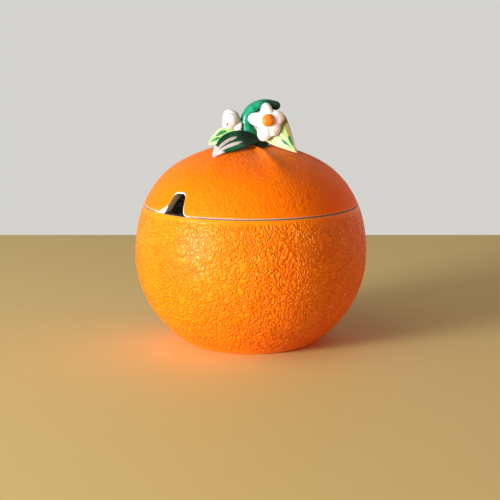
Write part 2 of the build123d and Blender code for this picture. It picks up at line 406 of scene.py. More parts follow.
@dataclass(frozen=True)
class LeafGlaze:
    """Leaf painted with tapered brush strokes over a mottled ground, with painted shade towards its base
    and, if given, along one edge.
    """

    name: str
    strokes: tuple[Stroke, ...]
    ground: Colour = (0.50, 0.68, 0.29)
    ground_shade: Colour = (0.40, 0.60, 0.21)
    paint: Colour = (0.012, 0.200, 0.060)
    paint_thin: Colour = (0.06, 0.36, 0.12)
    edge: Colour = (0.74, 0.77, 0.52)
    # Darkening towards the base: painted shade of the hollow under the stalk and blossoms
    base_shade: float = 0.06
    base_shade_colour: Colour = (0.42, 0.62, 0.20)
    pale_tip: float = 1.1
    rim: float = 0.8
    # Brown painted shade along one edge of the leaf
    shaded_edge: float = 0.0
    shaded_edge_colour: Colour = (0.30, 0.20, 0.05)
    aspect: float = 2.0
    dull: float = 0.0
    mottle_size: float = 2.0 * MM
    bump_depth: float = 0.25 * MM

    def material(self) -> bpy.types.Material:
        """Builds the painted glaze from the leaf's along and across attributes.

        Returns:
            The material.
        """
        coat = Dressing(self.name, Specular_IOR_Level=0.22, Coat_Weight=0.08, Coat_Roughness=0.08)
        desk = coat.desk
        mottle = desk.noise(coat.place, self.mottle_size, 3.0)
        wobble = (mottle - 0.5) * 0.09
        along = coat.value("along") + wobble
        plain_across = coat.value("across")
        across = plain_across + wobble * 1.5
        colour = desk.blend(mottle.ease(0.35, 0.7) * 0.6, self.ground, self.ground_shade)
        colour = desk.blend(abs(plain_across).ease(0.86, 0.97) * self.rim, colour, self.edge)
        # Painted shade along one edge, where the leaf's thick side turns from the light
        if self.shaded_edge:
            side = across.ease(0.62, 0.80) * along.ease(0.02, 0.12) * (1 - along.ease(0.72, 0.92))
            colour = desk.blend(side * self.shaded_edge, colour, self.shaded_edge_colour)
        paint = desk.blend(mottle.ease(0.4, 0.7), self.paint, self.paint_thin)
        cover, *others = [stroke.mask(along, across, self.aspect) for stroke in self.strokes]
        for other in others:
            cover = cover.most(other)
        colour = desk.blend(cover, colour, paint)
        # Painted shade towards the base, where the leaf runs under the stalk and blossoms
        colour = desk.blend(1 - along.ease(self.base_shade * 0.55, self.base_shade), colour, self.base_shade_colour)
        colour = desk.blend(along.ease(self.pale_tip - 0.05, self.pale_tip), colour, self.edge)
        coat.link("Base Color", colour)
        coat.link("Roughness", 0.18 + mottle * 0.14 + (1 - along.ease(0.2, 0.5)) * self.dull)
        coat.bump(mottle + cover * 0.3, self.bump_depth, 0.35)
        return coat.material


@dataclass(frozen=True)
class PlainGlaze:
    """Glaze of one colour, with a little mottling, painted shade in its hollows and, if given, an eye."""

    name: str
    colour: Colour
    thin: Colour
    # Colour of the painted shade in hollows, valleys and dimples
    hollow_shade: Colour
    grain: float = 1.4 * MM
    heart: Colour | None = None
    bump_depth: float = 0.2 * MM

    def material(self) -> bpy.types.Material:
        """Builds the glaze from the piece's relief and heart attributes.

        Returns:
            The material.
        """
        coat = Dressing(self.name, Specular_IOR_Level=0.4, Coat_Weight=0.2, Coat_Roughness=0.1)
        desk = coat.desk
        grain = desk.noise(coat.place, self.grain, 3.0)
        colour = desk.blend(grain.ease(0.4, 0.75) * 0.5, self.colour, self.thin)
        # Painted shade where the relief attribute is low, in valleys, folds and hollows
        colour = desk.blend((1 - coat.value("relief")) * 0.7, colour, self.hollow_shade)
        if self.heart:
            colour = desk.blend(coat.value("heart").ease(0.3, 0.5), colour, self.heart)
        coat.link("Base Color", colour)
        coat.link("Roughness", 0.2 + grain * 0.15)
        coat.bump(grain, self.bump_depth, 0.3)
        return coat.material


# Relief that follows a surface


@dataclass(frozen=True)
class PeelRelief:
    """Geometry Nodes relief of an orange's peel, sunk into a surface where its mask lets it."""

    name: str
    depth: float
    cell: float
    seed: float
    warp: float = 1.1

    def tree(self) -> bpy.types.GeometryNodeTree:
        """Builds the tree, with its sizes as named inputs.

        Returns:
            The tree.
        """
        tree = bpy.data.node_groups.new(self.name, "GeometryNodeTree")
        face = tree.interface
        face.new_socket("Geometry", in_out="INPUT", socket_type="NodeSocketGeometry")
        for title in ("Depth", "Cell", "Warp", "Seed"):
            face.new_socket(title, in_out="INPUT", socket_type="NodeSocketFloat")
        face.new_socket("Material", in_out="INPUT", socket_type="NodeSocketMaterial")
        face.new_socket("Geometry", in_out="OUTPUT", socket_type="NodeSocketGeometry")
        desk = Desk(tree)
        inputs = tree.nodes.new("NodeGroupInput")
        given = {socket.name: Signal(desk, socket) for socket in inputs.outputs}

        place = desk.add("GeometryNodeInputPosition")
        fine = 1 / given["Cell"]
        seeded = {"noise_dimensions": "4D"}
        sockets = {"Vector": place, "W": given["Seed"], "Scale": fine * 0.34, "Detail": 1.0}
        drift = desk.add("ShaderNodeTexNoise", seeded, sockets, "Color")
        warped = desk.shifted(place, drift, given["Warp"] * given["Cell"] * 2.4)
        sockets = {"Vector": warped, "W": given["Seed"], "Scale": fine, "Detail": 1.5, "Roughness": 0.4}
        worm = desk.add("ShaderNodeTexNoise", seeded, sockets)
        ridge = (abs(worm - 0.5) * 7.0).ease(0.0, 1.0)
        sockets = {"Vector": warped, "Scale": fine * 0.8, "Smoothness": 0.3}
        pore = desk.add("ShaderNodeTexVoronoi", {"feature": "SMOOTH_F1"}, sockets).ease(0.05, 0.55)
        sockets = {"Vector": place, "Scale": fine * 0.16, "Detail": 1.0}
        patch = desk.add("ShaderNodeTexNoise", {}, sockets).ease(0.35, 0.65)
        height = ridge * 0.65 + pore * 0.35
        kind = {"data_type": "FLOAT"}
        mask = desk.add("GeometryNodeInputNamedAttribute", kind, {"Name": "peel"})
        sink = (1 - height) * (mask * (0.45 + patch * 0.55))
        normal = desk.add("GeometryNodeInputNormal")
        offset = desk.vector("SCALE", normal, Scale=sink * given["Depth"] * -1.0)
        sockets = {"Geometry": given["Geometry"], "Offset": offset}
        form = desk.add("GeometryNodeSetPosition", {}, sockets)
        sockets = {"Geometry": form, "Name": "relief", "Value": 1 - sink}
        form = desk.add("GeometryNodeStoreNamedAttribute", {**kind, "domain": "POINT"}, sockets)
        form = desk.add("GeometryNodeRealizeInstances", {}, {"Geometry": form})
        sockets = {"Geometry": form, "Material": given["Material"]}
        form = desk.add("GeometryNodeSetMaterial", {}, sockets)
        desk.feed(tree.nodes.new("NodeGroupOutput").inputs[0], form)
        return tree

    def apply(self, piece: bpy.types.Object, material: bpy.types.Material) -> None:
        """Runs the tree on a piece and keeps the result as its plain mesh.

        Args:
            piece: Piece with a peel attribute on its points.
            material: Material that the tree sets.
        """
        modifier = piece.modifiers.new(self.name, "NODES")
        modifier.node_group = self.tree()
        values = {
            "Depth": self.depth,
            "Cell": self.cell,
            "Warp": self.warp,
            "Seed": self.seed,
            "Material": material,
        }
        for socket in modifier.node_group.interface.items_tree:
            if socket.in_out == "INPUT" and socket.name in values:
                modifier[socket.identifier] = values[socket.name]
        graph = bpy.context.evaluated_depsgraph_get()
        shaped = bpy.data.meshes.new_from_object(
            piece.evaluated_get(graph), preserve_all_data_layers=True, depsgraph=graph
        )
        piece.modifiers.remove(modifier)
        piece.data = shaped
        shaped.name = piece.name


# Meshes


def show(name: str, mesh: bpy.types.Mesh) -> bpy.types.Object:
    """Adds a mesh to the scene as an object at the origin.

    Args:
        name: Name of the object.
        mesh: Its mesh.

    Returns:
        The object.
    """
    piece = bpy.data.objects.new(name, mesh)
    bpy.context.scene.collection.objects.link(piece)
    return piece


class RingSkin:
    """Surface made of rings of points, each joined to the next, with poles at closed ends."""

    def __init__(self, columns: int) -> None:
        """Starts a skin without rings.

        Args:
            columns: How many points each ring has.
        """
        self.columns = columns
        self.points: list[np.ndarray] = []
        self.values: dict[str, list[np.ndarray]] = {}
        self.starts: list[tuple[int, int]] = []
        self.count = 0

    def ring(self, points: Any, **values: Any) -> None:
        """Adds a ring, or a pole if it holds one point.

        Args:
            points: One row of three coordinates for each point, in metres.
            values: Attribute values, one number or one for each point.
        """
        points = np.atleast_2d(np.asarray(points, float))
        self.starts.append((self.count, len(points)))
        self.points.append(points)
        self.count += len(points)
        for name, value in values.items():
            row = np.broadcast_to(np.asarray(value, float), (len(points),))
            self.values.setdefault(name, []).append(row)

    def faces(self) -> list[tuple[int, ...]]:
        """Joins each ring to the next.

        Returns:
            Numbers of the points of each face.
        """
        made: list[tuple[int, ...]] = []
        for (first, size), (second, next_size) in zip(self.starts, self.starts[1:]):
            for column in range(self.columns):
                after = (column + 1) % self.columns
                if size == 1:
                    made.append((first, second + after, second + column))
                elif next_size == 1:
                    made.append((first + column, first + after, second))
                else:
                    made.append((first + column, first + after, second + after, second + column))
        return made

    def mesh(self, name: str) -> bpy.types.Mesh:
        """Makes a mesh of the rings, with their attributes and outward normals.

        Args:
            name: Name of the mesh.

        Returns:
            The closed smooth mesh.
        """
        mesh = bpy.data.meshes.new(name)
        mesh.from_pydata(np.concatenate(self.points).tolist(), [], self.faces())
        for title, rows in self.values.items():
            attribute = mesh.attributes.new(title, "FLOAT", "POINT")
            attribute.data.foreach_set("value", np.concatenate(rows).astype(np.float32))
        form = bmesh.new()
        form.from_mesh(mesh)
        bmesh.ops.recalc_face_normals(form, faces=form.faces)
        form.to_mesh(mesh)
        form.free()
        mesh.shade_smooth()
        return mesh

    def piece(
        self,
        name: str,
        material: bpy.types.Material,
        body: Body,
        slot: Slot,
        *nodes: str,
        relief: PeelRelief | None = None,
    ) -> bpy.types.Object:
        """Makes a dressed piece that rides on its body and stands for its nodes.

        Args:
            name: Name of the piece.
            material: Its finish.
            body: Body that it moves with.
            slot: Slot of its finish, not used.
            nodes: CAD nodes that it replaces.
            relief: Relief that is sunk into it, if any.

        Returns:
            The piece.
        """
        piece = show(name, self.mesh(name))
        if relief:
            relief.apply(piece, material)
        else:
            piece.data.materials.append(material)
        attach(piece, body.value)
        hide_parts(*nodes)
        LOG.info("%s: %d faces on %s", piece.name, len(piece.data.polygons), body.value)
        return piece


def turns(columns: int) -> np.ndarray:
    """Angles of evenly spaced points on a circle."""
    return np.linspace(0.0, 2 * math.pi, columns, endpoint=False)


def circle(radius: Any, turn: np.ndarray, level: Any) -> np.ndarray:
    """Points about the Z axis at angles, with radii and levels."""
    return np.stack([radius * np.cos(turn), radius * np.sin(turn), turn * 0 + level], 1)


def lengths(points: np.ndarray) -> np.ndarray:
    """Length along a polyline at each of its points."""
    steps = np.linalg.norm(np.diff(points, axis=0), axis=1)
    return np.concatenate([[0.0], np.cumsum(steps)])


def points_at(points: np.ndarray, places: np.ndarray) -> np.ndarray:
    """Points of a polyline at lengths along it."""
    length = lengths(points)
    return np.stack([np.interp(places, length, column) for column in points.T], 1)


def along_line(points: np.ndarray, spacing: float) -> np.ndarray:
    """Spaces points evenly along a polyline, with the same ends.

    Args:
        points: Points of the polyline.
        spacing: Distance between the new points.

    Returns:
        The new points.
    """
    length = lengths(points)[-1]
    count = max(2, int(round(length / spacing)) + 1)
    return points_at(points, np.linspace(0.0, length, count))


def trim(points: np.ndarray, cut_start: float, cut_end: float) -> np.ndarray:
    """Shortens a polyline at its ends.

    Args:
        points: Points of the polyline.
        cut_start: Length that goes at its start.
        cut_end: Length that goes at its end.

    Returns:
        The points that are left, with the new ends.
    """
    length = lengths(points)
    last = length[-1] - cut_end
    inside = length[(length > cut_start) & (length < last)]
    return points_at(points, np.concatenate([[cut_start], inside, [last]]))


def rounded(runs: Sequence[np.ndarray], cuts: Sequence[float], steps: int) -> list[np.ndarray]:
    """Runs of an outline with a round in each corner between them.

    Args:
        runs: Polylines, each starting where the one before ends.
        cuts: How far each round reaches along both of its runs.
        steps: Points on each round.

    Returns:
        The shortened runs, with the rounds between them.
    """
    made: list[np.ndarray] = []
    for place, run in enumerate(runs):
        before = cuts[place - 1] if place else 0.0
        after = cuts[place] if place < len(cuts) else 0.0
        made.append(trim(run, before, after))
        if place < len(cuts):
            start, corner = made[-1][-1], run[-1]
            end = trim(runs[place + 1], after, 0.0)[0]
            share = np.linspace(0.0, 1.0, steps + 2)[1:-1, None]
            made.append(start * (1 - share) ** 2 + corner * 2 * share * (1 - share) + end * share**2)
    return made


def straight_runs(corners: Sequence[Pair]) -> list[np.ndarray]:
    """Straight runs between corners."""
    return [np.array(pair) for pair in zip(corners, corners[1:])]


def spline(points: Sequence[Sequence[float]], count: int) -> np.ndarray:
    """Smooth line through points, as a natural cubic spline over their distances.

    Args:
        points: Points that the line passes through.
        count: Number of points on the line.

    Returns:
        The points of the line.
    """
    knots = np.asarray(points, float)
    gaps = np.linalg.norm(np.diff(knots, axis=0), axis=1)
    place = lengths(knots)
    size = len(knots)
    system = np.eye(size)
    right = np.zeros_like(knots)
    for k in range(1, size - 1):
        system[k, k - 1 : k + 2] = gaps[k - 1], 2 * (gaps[k - 1] + gaps[k]), gaps[k]
        slope = (knots[k + 1] - knots[k]) / gaps[k] - (knots[k] - knots[k - 1]) / gaps[k - 1]
        right[k] = 6 * slope
    bend = np.linalg.solve(system, right)
    line = []
    for spot in np.linspace(0.0, place[-1], count):
        k = min(int(np.searchsorted(place, spot, side="right")) - 1, size - 2)
        left, near, gap = place[k + 1] - spot, spot - place[k], gaps[k]
        line.append(
            (bend[k] * left**3 + bend[k + 1] * near**3) / (6 * gap)
            + (knots[k] / gap - bend[k] * gap / 6) * left
            + (knots[k + 1] / gap - bend[k + 1] * gap / 6) * near
        )
    return np.array(line)


def smooth(value: Any, low: float, high: float) -> Any:
    """Smooth step from 0 at low to 1 at high."""
    share = np.clip((np.asarray(value, float) - low) / (high - low), 0.0, 1.0)
    return share * share * (3 - 2 * share)


def bell(value: Any, middle: float, width: float) -> Any:
    """Bell curve of height 1 about a middle."""
    return np.exp(-(((value - middle) / width) ** 2))


def unit(vector: Any) -> np.ndarray:
    """Vector, or rows of vectors, of length one."""
    vector = np.asarray(vector, float)
    return vector / np.linalg.norm(vector, axis=-1, keepdims=True)


# Orange form


@dataclass(frozen=True)
class OrangeForm:
    """Superellipse form that the pot and the lid share, with its sizes from the frame."""

    belly_radius: float
    seam: float
    crown: float
    belly: float = 37.6 * MM
    foot_radius: float = 28.0 * MM
    upper_fullness: float = 2.34
    lower_fullness: float = 1.93
    samples: int = 2400

    @classmethod
    def from_frame(cls) -> "OrangeForm":
        """Reads the widest radius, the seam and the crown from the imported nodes."""
        pot_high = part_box("pot")[1]
        return cls(belly_radius=pot_high.x, seam=pot_high.z, crown=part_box("lid_shell")[1].z)

    @property
    def upper_height(self) -> float:
        """Height of the upper half."""
        return self.crown - self.belly

    @property
    def lower_height(self) -> float:
        """Height of the whole lower half, which the foot cuts off."""
        share = 1 - (self.foot_radius / self.belly_radius) ** self.lower_fullness
        return self.belly / share ** (1 / self.lower_fullness)

    def curve(self, low: float, high: float, inset: float = 0.0) -> np.ndarray:
        """Dense profile of radius and height from one level up to another.

        Args:
            low: Level of the first point.
            high: Level of the last point.
            inset: How far inside the outer skin the profile lies.

        Returns:
            Rows of radius and height.
        """
        angle = np.linspace(0.0, QUARTER, self.samples)
        radius = self.belly_radius - inset
        halves = []
        for height, power in (
            (inset - self.lower_height, self.lower_fullness),
            (self.upper_height - inset, self.upper_fullness),
        ):
            reach = radius * np.cos(angle).clip(0.0) ** (2 / power)
            rise = self.belly + height * np.sin(angle) ** (2 / power)
            halves.append(np.stack([reach, rise], 1))
        line = np.concatenate([halves[0][:0:-1], halves[1]])
        levels = line[:, 1]
        inside = line[(levels > low) & (levels < high)]
        ends = [[np.interp(level, levels, line[:, 0]), level] for level in (low, high)]
        return np.concatenate([[ends[0]], inside, [ends[1]]])

    def radius_at(self, level: Any, inset: float = 0.0) -> Any:
        """Finds the radius of the upper half at a level.

        Args:
            level: One level or more.
            inset: How far inside the outer skin the radius lies.

        Returns:
            The radius at each level.
        """
        share = np.clip((np.asarray(level) - self.belly) / (self.upper_height - inset), 0.0, 1.0)
        power = self.upper_fullness
        return (self.belly_radius - inset) * (1 - share**power) ** (1 / power)

    def level_at(self, radius: float) -> float:
        """Level of the dome's skin at a radius, counted up from the crown."""
        power = self.upper_fullness
        return self.upper_height * ((1 - (radius / self.belly_radius) ** power) ** (1 / power) - 1)


@dataclass(frozen=True)
class Pot:
    """Bowl with a foot ring, a flat rim and a peel outside."""

    form: OrangeForm
    wall: float = 4.0 * MM
    floor: float = 5.0 * MM
    floor_fillet: float = 7.0 * MM
    ring_width: float = 4.5 * MM
    ring_round: float = 0.35 * MM
    recess: float = 1.4 * MM
    foot_round: float = 0.7 * MM
    rim_round: float = 0.6 * MM
    mouth_round: float = 0.9 * MM
    columns: int = 460
    skin_step: float = 0.56 * MM
    plain_step: float = 3.6 * MM
    rim_fade: Pair = (0.6 * MM, 3.2 * MM)
    foot_fade: Pair = (1.0 * MM, 3.5 * MM)
    relief: PeelRelief = PeelRelief("pot_peel", depth=0.34 * MM, cell=1.9 * MM, seed=1.7)

    def profile(self) -> list[tuple[np.ndarray, Any, float]]:
        """Outline of the wall from the middle of the underside to the middle of the floor.

        Returns:
            For each part its rows of radius and height, its share of orange and its bare value: 1 for bare
            clay, 2 for the rim's painted shade.
        """
        form = self.form
        ring_inner = form.foot_radius - self.ring_width
        outer = form.curve(0.0, form.seam)
        inner = form.curve(self.floor, form.seam, self.wall)[::-1]
        corners = [(0.0, self.recess), (ring_inner, self.recess), (ring_inner, 0.0), outer[0]]
        runs = straight_runs(corners) + [outer, np.array([outer[-1], inner[0]]), inner]
        runs.append(np.array([inner[-1], (0.0, self.floor)]))
        cuts = [self.ring_round, self.ring_round, self.foot_round]
        cuts += [self.rim_round, self.mouth_round, self.floor_fillet]
        # Even parts are the runs, and the odd part after each is its round
        side, foot, skin, rim = 2, 4, 6, 8
        # The rim's bare value of 2 gives it a near-black painted shade
        clay = {side + 1: 1.0, foot: 1.0, foot + 1: 1.0, skin + 1: 1.0, rim: 2.0}
        made = []
        for place, part in enumerate(rounded(runs, cuts, steps=4)):
            if place % 2 == 0:
                part = along_line(part, self.skin_step if place == skin else self.plain_step)
            orange = {foot + 1: 0.8, skin: 1.0, skin + 1: np.linspace(0.9, 0.0, len(part))}
            made.append((part, orange.get(place, 0.0), clay.get(place, 0.0)))
        return made

    def build(self, glaze: bpy.types.Material) -> bpy.types.Object:
        """Turns the profile, sinks the peel and dresses the pot.

        Args:
            glaze: Finish of the pot.

        Returns:
            The pot.
        """
        surface = RingSkin(self.columns)
        for part, orange, clay in self.profile():
            for (radius, level), cover in zip(part, np.broadcast_to(orange, len(part))):
                if radius < NEAR_AXIS:
                    surface.ring((0.0, 0.0, level), peel=0.0, glaze=0.0, bare=0.0)
                    continue
                peel = (cover == 1.0) * smooth(self.form.seam - level, *self.rim_fade)
                peel = peel * smooth(level, *self.foot_fade)
                ring = circle(radius, turns(self.columns), level)
                surface.ring(ring, peel=peel, glaze=cover, bare=clay)
        return surface.piece("pot_glazed", glaze, Body.POT, Slot.ORANGE, "pot", relief=self.relief)


@dataclass(frozen=True)
class EdgeWhite:
    """Where white shows at the lid's lower edge and where bare clay starts, in millimetres."""

    top_fade: Pair = (0.3, 1.3)
    right_spot: Pair = (6.6, 3.0)
    right_fade: Pair = (4.0, 7.4)
    left_start: Pair = (6.0, 7.4)
    left_end: Pair = (14.0, 18.0)
    corner_size: Pair = (3.6, 3.4)
    corner_reach: float = 2.6
    clay_start: Pair = (10.0, 14.0)


@dataclass(frozen=True)
class Lid:
    """Domed lid with a spoon notch in its rim, pleats at its crown and a flange below."""

    form: OrangeForm
    pot_wall: float
    wall: float = 3.4 * MM
    edge_round: float = 0.55 * MM
    notch_base: float = 10.8 * MM
    notch_top: float = 5.9 * MM
    notch_height: float = 8.4 * MM
    top_round: float = 1.9 * MM
    left_flare: float = 0.9 * MM
    right_flare: float = 2.6 * MM
    straight_reach: Pair = (9 * MM, 22 * MM)
    flange_depth: float = 4.0 * MM
    flange_thickness: float = 3.0 * MM
    flange_clearance: float = 0.8 * MM
    flange_head: float = 6.0 * MM
    flange_gap: float = 12.15 * MM
    flange_rounds: tuple[float, ...] = (0.8 * MM, 0.8 * MM, 0.3 * MM)
    flange_stations: int = 220
    columns: int = 540
    skin_step: float = 0.5 * MM
    inner_step: float = 1.7 * MM
    edge_thinning: float = 0.45
    clay_from: float = 0.35
    fan_reach: float = 33.0 * MM
    peel_edge: Pair = (0.5 * MM, 3 * MM)
    peel_crown: Pair = (3 * MM, 12 * MM)
    pleat_count: int = 7
    pleat_depth: float = 1.2 * MM
    pleat_phase: float = 4.22
    pleat_start: Pair = (2 * MM, 7 * MM)
    pleat_end: Pair = (24 * MM, 40 * MM)
    deep_pleat: Pair = (1.19, 0.55)
    white: EdgeWhite = EdgeWhite()
    relief: PeelRelief = PeelRelief("lid_peel", depth=0.20 * MM, cell=2.0 * MM, seed=5.2)

    def outline(self) -> tuple[np.ndarray, np.ndarray]:
        """Lower edge of the lid, unrolled: distance round the rim from the notch, and level.

        Returns:
            The points, and at each the unit direction into the lid.
        """
        seam, top = self.form.seam, self.form.seam + self.notch_height
        half_turn = math.pi * self.form.radius_at(seam)
        corners = [(0.0, top), (self.notch_top / 2, top), (self.notch_base / 2, seam), (half_turn, seam)]
        left, right = (
            np.concatenate(rounded(straight_runs(corners), [self.top_round, flare], steps=16))
            for flare in (self.left_flare, self.right_flare)
        )
        whole = np.concatenate([left[:0:-1] * (-1, 1), right])
        spots = np.linspace(0.0, lengths(whole)[-1], self.columns, endpoint=False)
        line = points_at(whole, spots)
        ahead = np.roll(line, -1, axis=0) - np.roll(line, 1, axis=0)
        ahead[0] = ahead[-1] = (1.0, 0.0)
        ahead = unit(ahead)
        return line, np.stack([-ahead[:, 1], ahead[:, 0]], 1)

    def turn_of(self, line: np.ndarray, inset: float) -> np.ndarray:
        """Rolls points round the lid, with the notch's sides kept parallel.

        Args:
            line: Unrolled points.
            inset: Depth of the skin below the outer one.

        Returns:
            The angle of each point from -Y.
        """
        seam_radius = self.form.radius_at(self.form.seam)
        plain = line[:, 0] / seam_radius
        across = seam_radius * np.sin(plain)
        radius = self.form.radius_at(line[:, 1], inset)
        straight = np.arcsin(np.clip(across / radius, -1.0, 1.0))
        share = smooth(np.abs(line[:, 0]), *self.straight_reach)
        return straight * (1 - share) + plain * share

    @staticmethod
    def points(radius: Any, turn: np.ndarray, level: Any) -> np.ndarray:
        """Points at a radius and level, at angles from -Y."""
        return circle(radius, turn - QUARTER, level)

    def pleats(self, radius: np.ndarray, turn: np.ndarray) -> np.ndarray:
        """Works out how far the crown's pleats sink below the dome.

        Args:
            radius: Radius of each point.
            turn: Angle of each point from -Y.

        Returns:
            The depth at each point.
        """
        wave = np.cos(self.pleat_count * turn + 0.9 * np.sin(2 * turn + 0.6) + self.pleat_phase)
        fade = smooth(radius, *self.pleat_start) * (1 - smooth(radius, *self.pleat_end))
        deep = 0.3 + 0.7 * bell(turn, *self.deep_pleat)
        return self.pleat_depth * deep * (1 - (0.5 + 0.5 * wave) ** 5) * fade

    def dome_rows(self, line: np.ndarray, inset: float, step: float) -> list[tuple[np.ndarray, ...]]:
        """Rings on one skin from the lower edge to just below the crown.

        Args:
            line: Unrolled edge points, where the first ring lies.
            inset: Depth of the skin below the outer one.
            step: Distance between rings.

        Returns:
            Radius, angle and level of the points of each ring.
        """
        profile = self.form.curve(self.form.seam, self.form.crown - inset, inset)[::-1]
        length = lengths(profile)
        edge = np.interp(-line[:, 1], -profile[:, 1], length)
        edge_turn = self.turn_of(line, inset)
        even = (np.arange(self.columns) / self.columns - 0.5) * 2 * math.pi
        rings = []
        for share in np.arange(0.0, 1.0, step / (length[-1] - self.fan_reach)):
            rings.append((edge + (self.fan_reach - edge) * share, edge_turn + (even - edge_turn) * share))
        for reach in np.arange(self.fan_reach, step / 2, -step):
            rings.append((np.full(self.columns, reach), even))
        radius, level = profile.T
        return [(np.interp(at, length, radius), turn, np.interp(at, length, level)) for at, turn in rings]

    def edge_glaze(self, line: np.ndarray) -> tuple[np.ndarray, np.ndarray, np.ndarray]:
        """How the glaze ends along the lower edge.

        Args:
            line: Unrolled points of the edge.

        Returns:
            Share of white on the edge's round, reach of white on the skin, and share of bare clay.
        """
        # Lengths in millimetres, from the middle of the notch and up from the seam
        place, rise = line[:, 0] / MM, (line[:, 1] - self.form.seam) / MM
        height, half_base = self.notch_height / MM, self.notch_base / 2 / MM
        white = self.white
        top = 1 - smooth(height - rise, *white.top_fade)
        right = bell(place, *white.right_spot) * (1 - smooth(rise, *white.right_fade))
        left = smooth(-place, *white.left_start) * (1 - smooth(-place, *white.left_end))
        along_rim = np.clip(1 + (place + half_base) / white.corner_size[0], 0.0, 1.0)
        up_side = np.clip(1 - rise / white.corner_size[1], 0.0, 1.0)
        corner = along_rim * up_side * (place < 0)
        share = np.maximum.reduce([top, right, left, corner])
        return share, white.corner_reach * corner * MM, smooth(np.abs(place), *white.clay_start)

    def build_shell(self, glaze: bpy.types.Material) -> bpy.types.Object:
        """Builds the dome with its notch, sinks the peel and dresses it.

        Args:
            glaze: Finish of the lid.

        Returns:
            The dome.
        """
        line, inward = self.outline()
        shifted = line + inward * self.edge_round
        pale, white_reach, bare = self.edge_glaze(line)
        outer = self.dome_rows(shifted, 0.0, self.skin_step)
        inner = self.dome_rows(shifted, self.wall, self.inner_step)
        surface = RingSkin(self.columns)
        surface.ring((0.0, 0.0, self.form.crown), peel=0.0, glaze=1.0, bare=0.0)
        for place, (radius, turn, level) in reversed(list(enumerate(outer))):
            from_edge = place * self.skin_step
            peel = smooth(from_edge, *self.peel_edge) * smooth(radius, *self.peel_crown)
            orange = np.clip(0.5 + (from_edge - white_reach) / MM, 0.0, 1.0)
            ring = self.points(radius, turn, level - self.pleats(radius, turn))
            surface.ring(ring, peel=peel, glaze=orange, bare=0.0)
        corners = [
            self.points(self.form.radius_at(line[:, 1], inset), self.turn_of(line, inset), line[:, 1])
            for inset in (0.0, self.wall)
        ]
        through = unit(corners[1] - corners[0])
        sides = [self.points(*rows[0]) - corner for rows, corner in zip((outer, inner), corners)]
        bend = np.linspace(0.0, QUARTER, 6)[1:]
        for angle in bend:
            sink = through * self.edge_round * (1 - math.cos(angle))
            turned = angle / QUARTER
            thinned = self.edge_thinning * turned
            thinned = thinned + (smooth(turned, 0.0, self.clay_from) - thinned) * bare
            orange = (1 - pale) * (1 - thinned) + pale * max(0.5 - turned, 0.0)
            spot = corners[0] + sides[0] * (1 - math.sin(angle)) + sink
            surface.ring(spot, peel=0.0, glaze=orange * (white_reach < 0.5 * MM), bare=bare)
        start = corners[0] + through * self.edge_round
        end = corners[1] - through * self.edge_round
        for share in (0.25, 0.5, 0.75):
            surface.ring(start + (end - start) * share, peel=0.0, glaze=0.0, bare=bare)
        inside = []
        for angle in QUARTER - bend:
            sink = through * self.edge_round * (1 - math.cos(angle))
            inside.append(corners[1] + sides[1] * (1 - math.sin(angle)) - sink)
        inside += [self.points(*rows) for rows in inner[1:]]
        for spot in (*inside, (0.0, 0.0, self.form.crown - self.wall)):
            surface.ring(spot, peel=0.0, glaze=0.0, bare=0.0)
        return surface.piece(
            "lid_glazed", glaze, Body.LID, Slot.ORANGE, "lid_shell", relief=self.relief
        )

    def build_flange(self, glaze: bpy.types.Material) -> bpy.types.Object:
        """Builds the ring that drops into the pot's mouth, open behind the notch.

        Args:
            glaze: Finish of the lid.

        Returns:
            The flange.
        """
        mouth = self.form.radius_at(self.form.seam, self.pot_wall)
        outer = mouth - self.flange_clearance
        inner = outer - self.flange_thickness
        low, high = self.form.seam - self.flange_depth, self.form.seam + self.flange_head
        corners = [(inner, high), (inner, low), (outer, low), (outer, high), (inner, high)]
        loop = np.concatenate(rounded(straight_runs(corners), self.flange_rounds, steps=5))[:-1]
        middle = loop.mean(axis=0)
        gap = math.asin(self.flange_gap / outer)
        end = 2 * math.pi - gap
        cap = np.array([0.0, 0.1, 0.3, 0.6]) * MM / outer
        between = np.linspace(gap, end, self.flange_stations)[1:-1]
        stations = np.concatenate([gap + cap, between, end - cap[::-1]])
        sizes = np.ones(len(stations))
        sizes[:3] = 0.86, 0.95, 0.99
        sizes[-3:] = sizes[2::-1]
        rows = []
        for turn, size in zip(stations, sizes):
            radius, level = (middle + (loop - middle) * size).T
            rows.append(self.points(radius, np.full(len(loop), turn), level))
        surface = RingSkin(len(loop))
        for row in (rows[0].mean(axis=0), *rows, rows[-1].mean(axis=0)):
            surface.ring(row, glaze=0.0, relief=1.0)
        return surface.piece("lid_flange", glaze, Body.LID, Slot.ORANGE, "lid_shell")


# Finial, with its sizes in millimetres


@dataclass(frozen=True)
class FinialFrame:
    """Places of the finial, given across, away and above the crown, and turned onto the lid."""

    crown: float
    turn: float = VIEW_TURN

    def world(self, places: Any) -> np.ndarray:
        """Turns places onto the lid.

        Args:
            places: Rows of millimetres across, away and above the crown.

        Returns:
            Rows of coordinates in metres.
        """
        places = np.atleast_2d(np.asarray(places, float)) * MM
        cos, sin = math.cos(self.turn), math.sin(self.turn)
        x = places[:, 0] * cos - places[:, 1] * sin
        y = places[:, 0] * sin + places[:, 1] * cos
        return np.stack([x, y, places[:, 2] + self.crown], 1)


